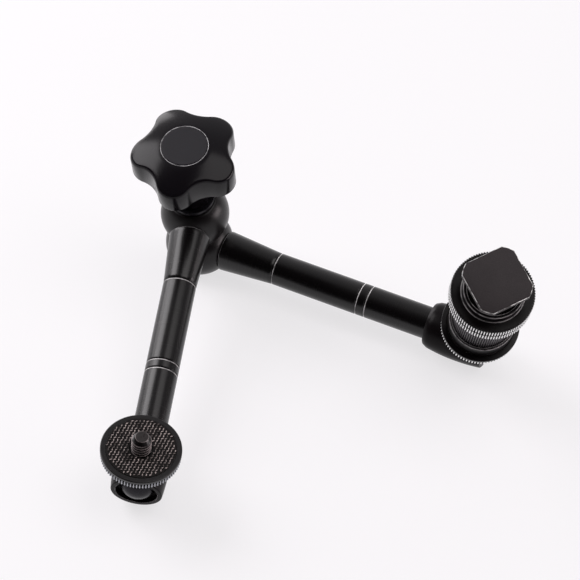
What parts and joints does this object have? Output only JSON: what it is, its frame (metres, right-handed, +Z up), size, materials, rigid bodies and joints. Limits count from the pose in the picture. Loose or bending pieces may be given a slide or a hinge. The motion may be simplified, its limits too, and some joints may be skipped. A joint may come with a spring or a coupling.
{
  "type": "articulating friction arm",
  "caption": "Articulating friction arm: slotted ball sockets on round arms, a star knob that locks every joint, knurled discs, a 1/4 inch screw and a shoe adapter.",
  "frame": {"origin": "middle of the base of the whole arm as it lies at rest on a table", "axes": "+Z up from the table; the camera that took the picture looks along +Y and down"},
  "size_m": [0.1362, 0.1272, 0.0701],
  "materials": {
    "black_anodised": "satin black anodised",
    "tube_anodised": "glossy black anodised with faint turning lines",
    "disc_anodised": "satin black anodised, straight knurl with bright tips",
    "ring_anodised": "fine blasted black with a diamond knurl",
    "foot_anodised": "fine grained matt black with bright cut edges",
    "knob_plastic": "glossy moulded black",
    "cap_plastic": "fine matt moulded black",
    "black_screw": "black oxide",
    "steel": "turned steel",
    "brass": "turned brass",
    "pad_rubber": "pimpled rubber",
    "nylon": "black nylon"
  },
  "bodies": {
    "lower_arm": {"lower_head": "black_anodised", "friction_washer": "nylon", "shoe_tube": "tube_anodised", "shoe_socket": "black_anodised"},
    "upper_arm": {"upper_head": "black_anodised", "screw_tube": "tube_anodised", "screw_socket": "black_anodised"},
    "thrust": {"thrust_washer": "black_screw", "upper_wedge": "steel"},
    "knob": {"knob_body": "knob_plastic", "knob_cap": "cap_plastic", "knob_nut": "brass"},
    "bolt": {"clamp_bolt": "black_screw", "lower_wedge": "steel"},
    "screw_rod": {"screw_push_rod": "steel", "screw_ball_seat": "brass"},
    "shoe_rod": {"shoe_push_rod": "steel", "shoe_ball_seat": "brass"},
    "screw_stud": {"screw_ball_stud": "black_screw", "screw_quarter_screw": "black_screw"},
    "screw_lock_disc": {"screw_disc": "disc_anodised", "screw_pad": "pad_rubber"},
    "shoe_stud": {"shoe_ball_stud": "black_screw", "shoe_quarter_screw": "black_screw"},
    "shoe_head": {"shoe_disc": "disc_anodised", "shoe_pad": "pad_rubber", "adapter_base": "black_anodised", "shoe_foot": "foot_anodised"},
    "ring": {"clamp_ring": "ring_anodised"}
  },
  "joints": [
    {"name": "elbow_swing", "type": "hinge", "parent": "lower_arm", "child": "upper_arm", "pos_m": [-0.04025, 0.05046, 0.01873], "axis": [-0.0685, -0.1744, 0.9823], "range_deg": [-265, 55]},
    {"name": "thrust_lift", "type": "slide", "parent": "upper_arm", "child": "thrust", "axis": [-0.0685, -0.1744, 0.9823], "range_m": [0, 0.000505]},
    {"name": "knob_turn", "type": "hinge", "parent": "thrust", "child": "knob", "pos_m": [-0.04025, 0.05046, 0.01873], "axis": [-0.0685, -0.1744, 0.9823], "range_deg": [0, 360]},
    {"name": "bolt_drop", "type": "slide", "parent": "lower_arm", "child": "bolt", "axis": [0.0685, 0.1744, -0.9823], "range_m": [0, 0.000505]},
    {"name": "screw_rod_slide", "type": "slide", "parent": "upper_arm", "child": "screw_rod", "axis": [0.1528, 0.9711, 0.1831], "range_m": [0, 0.000404]},
    {"name": "shoe_rod_slide", "type": "slide", "parent": "lower_arm", "child": "shoe_rod", "axis": [-0.9092, 0.4163, 0.0105], "range_m": [0, 0.000404]},
    {"name": "screw_tilt", "type": "hinge", "parent": "upper_arm", "child": "screw_stud", "pos_m": [-0.05638, -0.04968, 0.00899], "axis": [-0.9868, 0.1398, 0.0819], "range_deg": [-97.6, 2.4]},
    {"name": "screw_disc_turn", "type": "hinge", "parent": "screw_stud", "child": "screw_lock_disc", "pos_m": [-0.05638, -0.04968, 0.00899], "axis": [0.0736, -0.063, 0.9953], "continuous": true},
    {"name": "shoe_tilt", "type": "hinge", "parent": "lower_arm", "child": "shoe_stud", "pos_m": [0.05265, 0.00978, 0.00882], "axis": [-0.394, -0.8519, -0.345], "range_deg": [-79.2, 20.8]},
    {"name": "shoe_head_turn", "type": "hinge", "parent": "shoe_stud", "child": "shoe_head", "pos_m": [0.05265, 0.00978, 0.00882], "axis": [0.0381, -0.3902, 0.9199], "continuous": true},
    {"name": "ring_slide", "type": "slide", "parent": "shoe_head", "child": "ring", "axis": [0.0381, -0.3902, 0.9199], "range_m": [0, 0.006]}
  ],
  "couplings": [
    {"joint": "thrust_lift", "follows": "knob_turn", "m_per_rad": 0.000079577},
    {"joint": "bolt_drop", "follows": "knob_turn", "m_per_rad": 0.000079577},
    {"joint": "screw_rod_slide", "follows": "knob_turn", "m_per_rad": 0.000063662},
    {"joint": "shoe_rod_slide", "follows": "knob_turn", "m_per_rad": 0.000063662}
  ]
}
